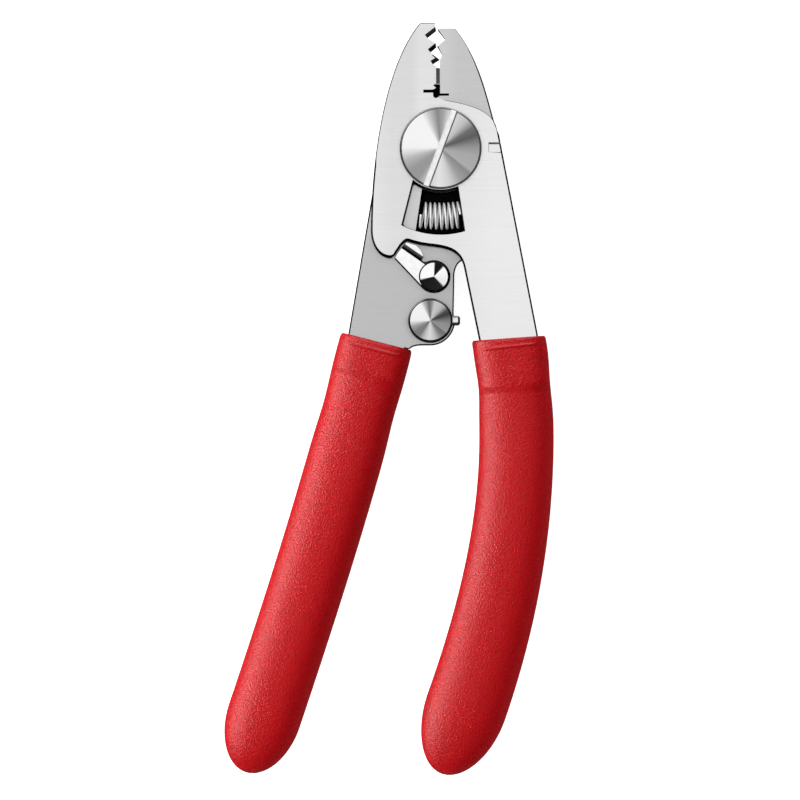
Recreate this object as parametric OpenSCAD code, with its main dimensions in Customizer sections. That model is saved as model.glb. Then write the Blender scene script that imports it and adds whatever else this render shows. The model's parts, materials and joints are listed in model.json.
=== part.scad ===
// Fibre stripper, three-hole pattern, lying flat on its back. Millimetres, +Z up.
// The origin is on the pivot's axis, in the plane that the tool rests on. The jaws point along +Y.
// Two flat steel halves cross at the pivot: the back half is the right jaw and the left handle,
// the front half is the left jaw and the right handle.

/* [Steel halves] */
// Thickness of each steel half
plate_t = 3.5; // [3:0.1:4.2]
// Sliding gap between the two halves
blade_gap = 0.04; // [0.02:0.01:0.1]
// Width of the crossed halves beside the pivot
waist_w = 27.8; // [26:0.1:32]
// Pivot to the tip of the front jaw
jaw_l = 28.2; // [26:0.1:34]
// How much shorter the back jaw is
tip_step = 1.1; // [0.5:0.1:2]
// Width of each jaw at its tip
tip_w = 3.4; // [2.5:0.1:5]
// Width of the steel where it enters a grip
tang_w = 13.2; // [11:0.1:14]
// Length of the steel inside a grip
tang_l = 78; // [40:1:84]
// Distance between the two handles where the grips begin
spread = 29.7; // [28:0.1:34]

/* [Stripping notches] */
// Depth of the jacket notch, nearest the tips
notch_1 = 2.0; // [1.4:0.1:2.4]
// Depth of the buffer notch
notch_2 = 1.3; // [0.9:0.1:1.6]
// Depth of the coating notch
notch_3 = 0.8; // [0.5:0.1:1.1]
// Width of the ground bevel along the cutting edges
bevel_w = 0.85; // [0.4:0.05:1]

/* [Pivot] */
// Diameter of the slotted pivot head
head_d = 18.4; // [16:0.1:20]
// Height of the pivot head
head_t = 2; // [1.5:0.1:2.4]
// Width of the driver slot
slot_w = 1.6; // [1:0.1:2.4]
// Depth of the driver slot
slot_depth = 1.1; // [0.6:0.1:1.4]
// Lean of the driver slot from the tool's long axis
slot_a = 20.4; // [0:0.1:90]
// Diameter of the shoulder that the halves turn on
shank_d = 9; // [7:0.1:11]
// Radial running clearance of every turning fit
run_gap = 0.04; // [0.02:0.01:0.08]
// Diameter of the threaded end
thread_d = 6; // [5:0.1:6.5]
// Width of the pivot nut across its flats
nut_af = 10; // [9:0.5:12]
// Height of the pivot nut
nut_t = 2.1; // [1.6:0.1:3]
// Diameter of the washer under the nut
washer_d = 14; // [12.5:0.5:16]
// Thickness of that washer
washer_t = 0.4; // [0.3:0.1:1]

/* [Return spring] */
// Outer diameter of the spring
spring_d = 6.2; // [5:0.1:6.3]
// Diameter of the spring's wire
wire_d = 0.5; // [0.5:0.05:0.9]
// Number of turns
turns = 8; // [6:0.5:9]
// Clearance between each end of the spring and its seat
spring_gap = 0.35; // [0.3:0.05:0.8]
// Steel left under the spring pocket in the back half
pocket_floor = 0.6; // [0.4:0.1:1]
// Steel between the pivot head and the spring window
win_gap = 0.8; // [0.5:0.1:2]
// Steel between the spring window and the lock's recess
bridge_w = 3; // [2:0.1:4]

/* [Lock] */
// Rivet to the lock lever's tip
lever_l = 9.8; // [9:0.1:12]
// Thickness of the lock lever
lever_t = 3; // [2:0.1:3.2]
// Width of the lever's tip
lever_tip_w = 2.9; // [2:0.1:3.2]
// Diameter of the lever's round end
boss_d = 7.4; // [7.2:0.1:9]
// Height of the thumb flange above the lever
flange_h = 2.4; // [1:0.1:3]
// Thickness of the thumb flange
flange_t = 1.3; // [0.6:0.1:1.5]
// Length of the thumb flange
flange_l = 5.4; // [3:0.1:6]
// How far the thumb flange leans outwards
flange_lean = 0.8; // [0:0.1:1.4]
// Radius of the thumb flange's bowed outer side
flange_bow = 4.2; // [3.5:0.1:9]
// Gap between the lever's tip and the front half
lock_gap = 0.2; // [0.1:0.05:0.5]
// Diameter of the lock rivet's head
rivet_head_d = 6.8; // [5:0.1:7]
// Height of the lock rivet's head
rivet_head_h = 1.5; // [0.8:0.1:2]
// Diameter of the lock rivet's shank
rivet_d = 3.2; // [2.5:0.1:4]
// Thickness of the spring washer under the lever
wave_t = 0.3; // [0.2:0.05:0.5]

/* [Closing stop] */
// Diameter of the stop barrel
barrel_d = 10; // [9:0.1:12]
// Height of the stop barrel
barrel_h = 4; // [3.6:0.1:5]
// Diameter of the stop screw
screw_d = 2.2; // [1.6:0.1:2.5]
// Length of the stop screw
screw_l = 6.2; // [5.5:0.1:7]
// How far the stop screw stands out of the barrel
screw_out = 1.7; // [1:0.1:2.4]

/* [Grips] */
// Length of each grip
grip_l = 97.6; // [90:0.1:115]
// Width of each grip at its middle
grip_w = 16.8; // [16:0.1:20]
// How much wider the curved right grip grows towards its end
right_flare = 1.7; // [0:0.1:3]
// Thickness of each grip
grip_t = 12; // [11.4:0.1:15]
// Length of the rounded end of each grip
cap_l = 12; // [8:0.5:14]
// Length of the plain collar at the mouth of each grip
collar_l = 10; // [6:0.5:16]
// Gap between the steel and its grip
grip_gap = 0.03; // [0.02:0.01:0.1]

/* [Hidden] */
$fn = 96;
big = 60;

steel_light = [0.86, 0.86, 0.87];
steel_grey = [0.72, 0.72, 0.74];
steel_bright = [0.93, 0.93, 0.94];
grip_red = [0.78, 0.09, 0.09];

// Heights of the layers, counted from the resting plane.
back_z = nut_t + washer_t;
shear_z = back_z + plate_t;
front_z = shear_z + blade_gap;
face_z = front_z + plate_t;
head_z = face_z + blade_gap;

// Radii about the pivot.
win_r0 = head_d / 2 + win_gap;
win_r1 = win_r0 + spring_d + 3.15;
arch_r = win_r1 + bridge_w - 0.15;
// Directions of the spring window's two ends at its inner and outer radius, from -Y.
seat_a0 = 23;
seat_a1 = 16;
far_a0 = 37.5;
far_a1 = 26;

// Lock: the rivet sits below the recess, far enough for the lever that leans at this angle.
lever_a = 145.5;
rivet = [-1.5, -(arch_r + 1.1 + lever_l * sin(180 - lever_a))];
flank_r = lever_l + lock_gap;
flank_a0 = 154;
flank_a1 = 140;
lobe_tip = rivet + polar(flank_r, flank_a0);
lobe_x = waist_w / 2 + 1.75;

// Closing stop.
barrel = rivet + [-0.8, -(barrel_d + boss_d) / 2 - 1.2];
ear_r = barrel_d / 2 + 0.55;
screw_z = shear_z + screw_d / 2 + 0.8;

// Handles: the middle line of each grip, from its mouth to its end, as a cubic curve.
mouth_y = barrel[1] - ear_r + 0.9;
left_top = [0.45 - spread / 2, mouth_y];
right_top = [0.45 + spread / 2, mouth_y + 0.7];
left_line = [for (p = [[0, 0], [-0.097, -0.378], [-0.18, -0.63], [-0.303, -0.994]])
    left_top + grip_l * p];
right_line = [for (p = [[0, 0], [0.04, -0.245], [0.026, -0.57], [-0.157, -1.004]])
    right_top + grip_l * p];

// Where the straight outer edges of the handles begin, beside the pivot.
hip = [waist_w / 2 - 0.75, 3];

function polar(r, a) = r * [cos(a), sin(a)];
function arc(c, r, a0, a1, n = 16) = [for (i = [0:n]) c + polar(r, a0 + (a1 - a0) * i / n)];
function at(p, t) = pow(1 - t, 3) * p[0] + 3 * pow(1 - t, 2) * t * p[1]
                    + 3 * (1 - t) * t * t * p[2] + pow(t, 3) * p[3];
function slope(p, t) = pow(1 - t, 2) * (p[1] - p[0]) + 2 * (1 - t) * t * (p[2] - p[1])
                       + t * t * (p[3] - p[2]);
function unit(v) = v / norm(v);
// The direction across a handle, pointing to +X where the handle points to -Y.
function across(p, t) = let(d = unit(slope(p, t))) [-d[1], d[0]];
function curve(p, n = 14) = [for (i = [0:n]) at(p, i / n)];
function mirrored(list) = [for (i = [len(list) - 1:-1:0]) [-list[i][0], list[i][1]]];

// One side of the steel inside a grip, as points at half the tang's width plus a gap.
tang_end = tang_l / grip_l;
tang_steps = 16;
function tang_half(t) = tang_w / 2 - 1.6 * min(1, t / tang_end);
function tang_side(p, side, gap, t0 = 0) =
    [for (i = [0:tang_steps]) let(t = t0 + (tang_end - t0) * i / tang_steps)
        at(p, t) + side * (tang_half(t) + gap) * across(p, t)];
// The rounded end of the tang, from its left side round to its right side.
function tang_cap(p, gap) = let(d = slope(p, tang_end), a = atan2(d[1], d[0]))
    arc(at(p, tang_end), tang_half(tang_end) + gap, a - 90, a + 90, 12);
function reversed(list) = [for (i = [len(list) - 1:-1:0]) list[i]];
// The whole loop of the tang below the grip's mouth, left side first.
function tang_loop(p, gap, t0 = 0) = concat(tang_side(p, -1, gap, t0), tang_cap(p, gap),
                                            reversed(tang_side(p, 1, gap, t0)));

// The spring window: an annular sector with straight ends. The back half holds its mirror image.
window = concat(arc([0, 0], win_r1, -90 - far_a1, -90 + seat_a1, 20),
                arc([0, 0], win_r0, -90 + seat_a0, -90 - far_a0, 20));

// Cutting edge of the front jaw in the shear plane, from its root up to its tip.
slit_y = 13.5;
edge_x = -0.15;
edge_land = 0.15;
tooth_x = -1.05;
front_edge = [
    [edge_x, slit_y + 1.1], [edge_x, jaw_l - 10.1], [tooth_x, jaw_l - 10.1],
    [tooth_x, jaw_l - 9.7], [tooth_x - notch_3, jaw_l - 9.25], [edge_x, jaw_l - 8.2],
    [tooth_x - 0.4, jaw_l - 7.2],
    [tooth_x - notch_2, jaw_l - 6.6], [tooth_x + 0.1, jaw_l - 5.45], [tooth_x, jaw_l - 4.65],
    [tooth_x - notch_1, jaw_l - 3.35], [tooth_x + 0.1, jaw_l - 1.75],
    [tooth_x - 0.1, jaw_l - 0.9], [tooth_x - 0.2, jaw_l]];
// Flanks that are ground to a bevel: two corners of the list above, and the bevel's width.
bevelled = [[0, 1, bevel_w], [4, 5, bevel_w], [5, 6, 0.4], [7, 8, bevel_w],
            [10, 11, bevel_w]];
// Cutting edge of the back jaw, from its tip down to its root.
back_edge = [
    [tooth_x + 0.8, jaw_l - tip_step], [tooth_x + 0.3, jaw_l - tip_step - 0.3],
    [notch_1 - 0.9, jaw_l - 3.6], [edge_x - 0.3, jaw_l - 4.9], [edge_x - 0.6, jaw_l - 5.15],
    [notch_2 - 0.9, jaw_l - 7.1], [edge_x + 0.05, jaw_l - 8.2], [edge_x + 0.05, slit_y + 1.2]];
// Relief slit of the front jaw, with its round root. Behind it the back half has a blind recess,
// which runs on into a slit of its own on the other side.
slit_l = 2.8;
root = [-1.1, slit_y - 1.6];
root_r = 0.6;
recess = concat([[edge_x + 0.05, slit_y + 1], [root[0] - 0.8, slit_y + 1],
                 [root[0] - 0.8, slit_y - 0.2], [root[0] - slit_l - 0.2, slit_y - 0.2],
                 [root[0] - slit_l - 0.2, slit_y - 1.1], [root[0] - root_r - 0.2, slit_y - 1.1]],
                arc(root, root_r + 0.15, 180, 360, 12),
                [[1.9, slit_y - 1.55], [1.9, slit_y - 1.05], [edge_x + 0.05, slit_y - 1.05]]);

front_outline = concat(
    // Outer edge of the left jaw and the rounded lobe below it.
    curve([[front_edge[13][0] - tip_w, jaw_l], [-waist_w / 2 + 1.1, jaw_l * 0.655],
           [-lobe_x, -3.2], [-lobe_x, lobe_tip[1] + 6]], 24),
    curve([[-lobe_x, lobe_tip[1] + 6], [-lobe_x, lobe_tip[1] + 2.2],
           [-lobe_x + 2.1, lobe_tip[1] - 0.3], lobe_tip + [-0.8, -0.3]], 12),
    // Flank that the lock lever holds, about the rivet.
    arc(rivet, flank_r, flank_a0, flank_a1, 6),
    // Roof of the recess, about the pivot, and the corner into the right handle.
    curve([rivet + polar(flank_r + 0.1, flank_a1 - 1), polar(arch_r + 0.9, 248.6),
           polar(arch_r + 0.1, 248.9), polar(arch_r, 251)], 8),
    arc([0, 0], arch_r, 252, 264, 8),
    curve([polar(arch_r, 264), [1.2, -arch_r - 0.3], [4.5, -arch_r - 0.7],
           [5.3, -arch_r - 4.7]], 12),
    // Steel of the right handle.
    tang_loop(right_line, 0),
    [hip],
    // Shoulder over the back jaw, and the root of the jaw.
    curve([[hip[0] - 0.45, hip[1] + 1.1], [hip[0] - 1.4, slit_y - 3.3], [1.3, slit_y - 3.2],
           root + [1.2, -0.75]], 14),
    arc(root, root_r, -40, -180, 8),
    [[root[0] - root_r, slit_y - 1], [root[0] - slit_l, slit_y - 1],
     [root[0] - slit_l, slit_y - 0.3], [root[0] - 0.6, slit_y - 0.3], [tooth_x, slit_y + 0.1],
     [root[0] - 0.6, slit_y + 0.65], [tooth_x, slit_y + 1.1]],
    front_edge);

back_outline = concat(
    // Right jaw's cutting edge and the shoulder under the front half, past the recess.
    back_edge,
    mirrored(curve([[hip[0] - 0.45, hip[1] + 1.1], [hip[0] - 1.4, slit_y - 2.3],
                    [7, slit_y + 1.2], [4, slit_y + 1.2]], 14)),
    [[-hip[0], hip[1]]],
    // Steel of the left handle, then the ear that carries the stop barrel.
    tang_loop(left_line, 0),
    curve([left_top + 7.55 * across(left_line, 0) + [0, 0.03], left_top + [8, -1.2],
           barrel + [-3.6, -ear_r], barrel + [-1.5, -ear_r]], 8),
    arc(barrel, ear_r, -90, 0, 14),
    [barrel + [ear_r - 0.3, 1.5]],
    curve([rivet + [4.6, -0.6], rivet + [4.5, 1.6], rivet + [5.2, 3.1], rivet + [6.3, 3.6]], 8),
    // Hidden lobe under the front half, and the outer edge of the right jaw.
    curve([rivet + [6.3, 3.6], [8, -arch_r - 1.8], [lobe_x - 1.7, -arch_r - 1.2],
           [lobe_x - 0.9, -arch_r + 4.2]], 12),
    curve([[lobe_x - 0.9, -arch_r + 4.2], [lobe_x - 0.3, -14], [hip[0] + 0.5, -4],
           [hip[0] - 0.1, hip[1]]], 10),
    curve([[hip[0] - 0.1, hip[1]], [hip[0] - 2.6, 10.3], [9.7, jaw_l * 0.66],
           [tip_w - 0.05, jaw_l - tip_step]], 20));

// Takes a ground bevel off one cutting flank: nothing at the shear plane, its width at the face.
// The flank runs from p to q with the steel on its left.
module ground_bevel(p, q, w) {
    d = q - p;
    a = atan2(d[1], d[0]);
    multmatrix([[cos(a), -sin(a), 0, p[0]], [sin(a), cos(a), 0, p[1]], [0, 0, 1, front_z]])
        rotate([90, 0, 90])
            linear_extrude(norm(d) + 0.7 * w)
                polygon([[-0.05, edge_land], [0, edge_land], [w, plate_t],
                         [w, plate_t + 1], [-0.05, plate_t + 1]]);
}

module front_plate() {
    color(steel_light)
        difference() {
            translate([0, 0, front_z])
                linear_extrude(plate_t)
                    difference() {
                        polygon(front_outline);
                        polygon(window);
                    }
            translate([0, 0, front_z - 1])
                cylinder(d = shank_d + 2 * run_gap, h = plate_t + 2);
            for (b = bevelled)
                ground_bevel(front_edge[b[0]], front_edge[b[1]], b[2]);
            // Index groove at the outer edge, beside the pivot, with one sloping side.
            translate([hip[0] - 2.4, 0, face_z])
                rotate([90, 0, 90])
                    linear_extrude(4)
                        polygon([[-0.95, -0.4], [0.9, -0.4], [1.35, 0.01], [-0.95, 0.01]]);
        }
}

module back_plate() {
    color(steel_grey)
        difference() {
            translate([0, 0, back_z])
                linear_extrude(plate_t)
                    polygon(back_outline);
            translate([0, 0, back_z + pocket_floor])
                linear_extrude(plate_t) {
                    polygon(mirrored(window));
                    polygon(recess);
                }
            translate([0, 0, back_z - 1])
                cylinder(d = shank_d + 2 * run_gap, h = plate_t + 2);
            translate([rivet[0], rivet[1], back_z - 1])
                cylinder(d = rivet_d, h = plate_t + 2);
            translate([barrel[0], barrel[1], back_z - 1])
                cylinder(d = barrel_d / 2, h = plate_t + 2);
        }
}

module pivot_bolt() {
    color(steel_bright)
        difference() {
            rotate_extrude()
                polygon([[0, 0], [thread_d / 2 - 0.3, 0], [thread_d / 2, 0.3],
                         [thread_d / 2, back_z], [shank_d / 2, back_z], [shank_d / 2, head_z],
                         [head_d / 2, head_z], [head_d / 2, head_z + head_t - 0.3],
                         [head_d / 2 - 0.3, head_z + head_t], [0, head_z + head_t]]);
            // Driver slot, with one wall that slopes.
            rotate([90, 0, -slot_a])
                linear_extrude(2 * head_d, center = true)
                    polygon([[-slot_w / 2, head_z + head_t - slot_depth],
                             [slot_w / 2 - 0.35, head_z + head_t - slot_depth],
                             [slot_w / 2, head_z + head_t + 0.1], [-slot_w / 2, head_z + head_t + 0.1]]);
        }
}

module pivot_washer() {
    color(steel_grey)
        translate([0, 0, nut_t])
            linear_extrude(washer_t)
                difference() {
                    circle(d = washer_d);
                    circle(d = thread_d + 2 * run_gap);
                }
}

module pivot_nut() {
    color(steel_grey)
        difference() {
            intersection() {
                cylinder(d = nut_af / cos(30), h = nut_t, $fn = 6);
                rotate_extrude()
                    polygon([[0, 0], [nut_af / 2, 0], [nut_af / 2 + 1, 0.6],
                             [nut_af / 2 + 1, nut_t], [0, nut_t]]);
            }
            translate([0, 0, -1])
                cylinder(d = thread_d + 2 * run_gap, h = nut_t + 2);
        }
}

// The spring's axis is an arc that leans as much as its two seats do.
seat_lean = 8;
spring_y = -(win_r1 - 1.05 - spring_d / 2);
seat_x = -spring_y * tan((seat_a0 + seat_a1) / 2) - 0.35;
axis_r = (seat_x - wire_d / 2 - spring_gap) / sin(seat_lean);
spring_z = back_z + pocket_floor + 0.1 + spring_d / 2;
coil_r = (spring_d - wire_d) / 2;
turn_steps = 16;
wire_sides = 8;
function spring_axis(a) = [axis_r * sin(a), spring_y + axis_r * (1 - cos(a)), spring_z];
// A point on the wire's skin: a is the lean along the arc, w the turn, s the way round the wire.
function wire_point(a, w, s) =
    let(out = [-sin(a), cos(a), 0] * cos(w) + [0, 0, 1] * sin(w), along = [cos(a), sin(a), 0])
    spring_axis(a) + (coil_r + wire_d / 2 * cos(s)) * out + wire_d / 2 * sin(s) * along;

module return_spring() {
    n = turns * turn_steps;
    points = [for (i = [0:n]) for (j = [0:wire_sides - 1])
        wire_point(seat_lean * (2 * i / n - 1), 360 * i / turn_steps + 90, 360 * j / wire_sides)];
    sides = [for (i = [0:n - 1]) for (j = [0:wire_sides - 1])
        let(a = i * wire_sides + j, b = i * wire_sides + (j + 1) % wire_sides)
        [a, a + wire_sides, b + wire_sides, b]];
    ends = [[for (j = [0:wire_sides - 1]) j],
            [for (j = [wire_sides - 1:-1:0]) n * wire_sides + j]];
    color(steel_bright)
        polyhedron(points, concat(sides, ends));
}

// The lever from above, with its round end on the rivet and its tip along +X. The edge on +Y is
// tangent to the round end, and the edge on -Y, which carries the thumb flange, is straight.
module lever_plan() {
    r = boss_d / 2;
    half = lever_tip_w / 2;
    corner = [lever_l + 1, half];
    touch = atan2(corner[1], corner[0]) + acos(r / norm(corner));
    difference() {
        intersection() {
            union() {
                circle(r = r);
                polygon([[0, -half], [lever_l + 1, -half], corner, polar(r, touch), [0, 0]]);
            }
            circle(r = lever_l);
        }
        circle(d = rivet_d + 2 * run_gap);
    }
}

// A tab bent up from the lever's straight edge, leaning outwards as it rises.
module thumb_flange() {
    foot = -lever_tip_w / 2;
    top = lever_t + flange_h;
    intersection() {
        translate([lever_l - flange_l, 0, 0])
            rotate([90, 0, 90])
                linear_extrude(flange_l)
                    polygon([[foot + 0.4, 0.6], [foot + 0.4, lever_t], [foot, lever_t],
                             [foot - flange_lean, top], [foot - flange_lean - flange_t, top],
                             [foot - flange_t, lever_t - 0.4], [foot - 0.3, 0.6]]);
        cylinder(r = lever_l, h = big);
        // Its outer side is bowed.
        translate([lever_l - flange_l / 2 + 0.3, flange_bow + foot - flange_lean - flange_t + 0.06, 0])
            cylinder(r = flange_bow, h = big);
    }
}

module lock_lever() {
    color(steel_bright)
        difference() {
            translate([rivet[0], rivet[1], shear_z + wave_t])
                rotate([0, 0, lever_a]) {
                    linear_extrude(lever_t)
                        lever_plan();
                    thumb_flange();
                }
            // The flange clears the roof of the recess, which is round the pivot.
            cylinder(r = arch_r + 0.3, h = big);
        }
}

module lock_washer() {
    color(steel_grey)
        translate([rivet[0], rivet[1], shear_z])
            linear_extrude(wave_t)
                difference() {
                    circle(d = boss_d - 0.6);
                    circle(d = rivet_d + 2 * run_gap);
                }
}

module lock_rivet() {
    top = shear_z + wave_t + lever_t + blade_gap;
    tail = back_z - 0.9;
    color(steel_bright)
        translate([rivet[0], rivet[1], 0])
            rotate_extrude()
                polygon([[0, tail], [rivet_d / 2 + 0.5, tail], [rivet_d / 2 + 1, tail + 0.5],
                         [rivet_d / 2 + 1, back_z], [rivet_d / 2, back_z], [rivet_d / 2, top],
                         [rivet_head_d / 2, top], [rivet_head_d / 2, top + 0.5],
                         [rivet_head_d / 2 - 0.3, top + 0.8], [0, top + rivet_head_h]]);
}

module stop_barrel() {
    color(steel_bright)
        difference() {
            translate([barrel[0], barrel[1], 0])
                rotate_extrude()
                    polygon([[0, back_z - 0.8], [barrel_d / 4 + 0.4, back_z - 0.8],
                             [barrel_d / 4 + 0.8, back_z - 0.4], [barrel_d / 4 + 0.8, back_z],
                             [barrel_d / 4, back_z], [barrel_d / 4, shear_z],
                             [barrel_d / 2, shear_z], [barrel_d / 2, shear_z + barrel_h - 0.3],
                             [barrel_d / 2 - 0.3, shear_z + barrel_h], [0, shear_z + barrel_h]]);
            translate([barrel[0] - barrel_d, barrel[1], screw_z])
                rotate([0, 90, 0])
                    cylinder(d = screw_d, h = 2 * barrel_d);
        }
}

module stop_screw() {
    r = screw_d / 2;
    color(steel_grey)
        translate([barrel[0] + barrel_d / 2 + screw_out - screw_l, barrel[1], screw_z])
            rotate([0, 90, 0])
                difference() {
                    rotate_extrude()
                        polygon([[0, 0], [r - 0.2, 0], [r, 0.2], [r, screw_l - 0.4],
                                 [r - 0.4, screw_l], [0, screw_l]]);
                    translate([0, 0, -1])
                        cylinder(d = screw_d * 0.6, h = 2.4, $fn = 6);
                }
}

// Half the width of a grip: a collar, a slight waist below it, and a rounded end.
function grip_half(t, flare) =
    let(s = t * grip_l, cap = max(0, (s - grip_l + cap_l) / cap_l), f = min(1, max(0, t * 1.6 - 0.5)))
    (grip_w / 2 + flare / 2 * f * f * (3 - 2 * f)
     - 0.3 * exp(-pow((s - collar_l - 4) / 6, 2)) - 0.15 * exp(-s / 3))
    * sqrt(max(0.004, 1 - cap * cap));
function grip_thick(t) =
    let(s = t * grip_l, cap = max(0, (s - grip_l + cap_l) / cap_l))
    grip_t / 2 * sqrt(max(0.004, 1 - cap * cap));
grip_sides = 28;
// Places of the cross-sections, closer together at the mouth and round the end.
grip_stations = concat([0, 0.006], [for (i = [1:19]) i * (1 - cap_l / grip_l) / 20],
                       [for (i = [0:8]) 1 - cap_l / grip_l * (1 - sin(i * 90 / 8))]);
function sign_pow(v, e) = v < 0 ? -pow(-v, e) : pow(v, e);

// A closed sleeve round a handle's middle line: squarish oval cross-sections across the line.
// The mouth is cut off square when skew is 0; otherwise its outer side is that much lower.
module grip_form(line, flare, skew) {
    n = len(grip_stations);
    points = [for (i = [0:n - 1]) let(t = grip_stations[i], c = at(line, t), x = across(line, t),
                                      d = unit(slope(line, t)) * skew * exp(-t * grip_l / 3),
                                      rim = i == 0 ? 0.95 : 1)
        for (j = [0:grip_sides - 1]) let(a = 360 * j / grip_sides,
            u = rim * grip_half(t, flare) * sign_pow(cos(a), 0.8),
            v = rim * grip_thick(t) * sign_pow(sin(a), 0.8))
        [c[0] + u * (x[0] + d[0]), c[1] + u * (x[1] + d[1]), grip_t / 2 + v]];
    sides = [for (i = [0:n - 2]) for (j = [0:grip_sides - 1])
        let(a = i * grip_sides + j, b = i * grip_sides + (j + 1) % grip_sides)
        [a, b, b + grip_sides, a + grip_sides]];
    ends = [[for (j = [grip_sides - 1:-1:0]) j],
            [for (j = [0:grip_sides - 1]) (n - 1) * grip_sides + j]];
    polyhedron(points, concat(sides, ends));
}

// A grip is hollow where its handle's steel goes, at that plate's height.
module grip(line, z, flare, skew) {
    color(grip_red)
        difference() {
            grip_form(line, flare, skew);
            translate([0, 0, z - grip_gap])
                linear_extrude(plate_t + 2 * grip_gap)
                    union() {
                        polygon(tang_loop(line, grip_gap));
                        polygon(concat(tang_side(line, -1, grip_gap, -0.03),
                                       reversed(tang_side(line, 1, grip_gap, -0.03))));
                    }
        }
}

module left_grip() {
    grip(left_line, back_z, 0, 0);
}

module right_grip() {
    grip(right_line, front_z, right_flare, 0.09);
}

front_plate();
back_plate();
pivot_bolt();
pivot_washer();
pivot_nut();
return_spring();
lock_lever();
lock_washer();
lock_rivet();
stop_barrel();
stop_screw();
left_grip();
right_grip();
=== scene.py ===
"""Looks of the fibre stripper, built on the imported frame: finishes, fine meshes and a plain studio.

Every piece is in the frame's own coordinates, in metres. Names that end in _mm hold millimetres.
"""
from __future__ import annotations

import json
import logging
import math
from collections.abc import Callable
from dataclasses import dataclass
from enum import Enum

import bmesh
import bpy
import numpy as np
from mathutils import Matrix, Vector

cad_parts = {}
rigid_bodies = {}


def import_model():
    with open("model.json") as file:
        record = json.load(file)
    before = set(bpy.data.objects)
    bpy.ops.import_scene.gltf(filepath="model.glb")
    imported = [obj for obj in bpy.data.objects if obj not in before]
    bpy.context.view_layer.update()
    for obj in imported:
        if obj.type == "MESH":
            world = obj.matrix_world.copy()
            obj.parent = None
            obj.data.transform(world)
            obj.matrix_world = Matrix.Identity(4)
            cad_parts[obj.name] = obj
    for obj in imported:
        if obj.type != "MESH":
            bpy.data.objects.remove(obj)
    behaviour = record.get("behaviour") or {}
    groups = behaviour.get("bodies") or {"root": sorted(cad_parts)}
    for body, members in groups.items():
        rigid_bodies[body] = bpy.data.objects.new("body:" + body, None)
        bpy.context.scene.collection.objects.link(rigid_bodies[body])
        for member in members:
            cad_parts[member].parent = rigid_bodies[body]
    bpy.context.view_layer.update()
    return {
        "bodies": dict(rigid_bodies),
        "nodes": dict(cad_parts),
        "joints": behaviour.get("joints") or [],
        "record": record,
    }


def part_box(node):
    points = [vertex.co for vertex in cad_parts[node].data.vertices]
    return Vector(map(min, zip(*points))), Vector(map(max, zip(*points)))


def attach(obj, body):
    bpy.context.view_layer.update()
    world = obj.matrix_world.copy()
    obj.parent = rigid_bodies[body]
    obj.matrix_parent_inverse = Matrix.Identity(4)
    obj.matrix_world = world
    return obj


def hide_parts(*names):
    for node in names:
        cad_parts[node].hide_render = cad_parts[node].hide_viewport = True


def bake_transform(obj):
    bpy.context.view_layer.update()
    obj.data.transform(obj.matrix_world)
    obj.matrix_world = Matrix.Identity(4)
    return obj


LOG = logging.getLogger("fibre_stripper")
MM = 0.001
WHITE = (1.0, 1.0, 1.0)
SHARP_DEG = 40.0

Colour = tuple[float, float, float]
Point = tuple[float, float, float]


class Body(str, Enum):
    """Rigid bodies of the frame."""

    BACK = "back_half"
    FRONT = "front_half"
    LOCK = "lock"


class Slot(str, Enum):
    """Material slots of the record."""

    LIGHT = "steel_light"
    BRUSHED = "steel_brushed"
    TURNED = "steel_turned"
    POLISHED = "steel_polished"
    WIRE = "spring_wire"
    DULL = "steel_dull"
    GRIP = "grip_red"


def linear(tone: float) -> float:
    """Returns the linear value of a display tone from 0 to 1."""
    return tone**2.2


def grey(tone: float) -> Colour:
    """Returns a neutral linear colour for a display tone from 0 to 1."""
    return (linear(tone),) * 3


def smooth(x: np.ndarray, start: float, end: float) -> np.ndarray:
    """Returns a smooth step of x, from 0 at start to 1 at end."""
    t = np.clip((x - start) / (end - start), 0.0, 1.0)
    return t * t * (3 - 2 * t)


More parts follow.
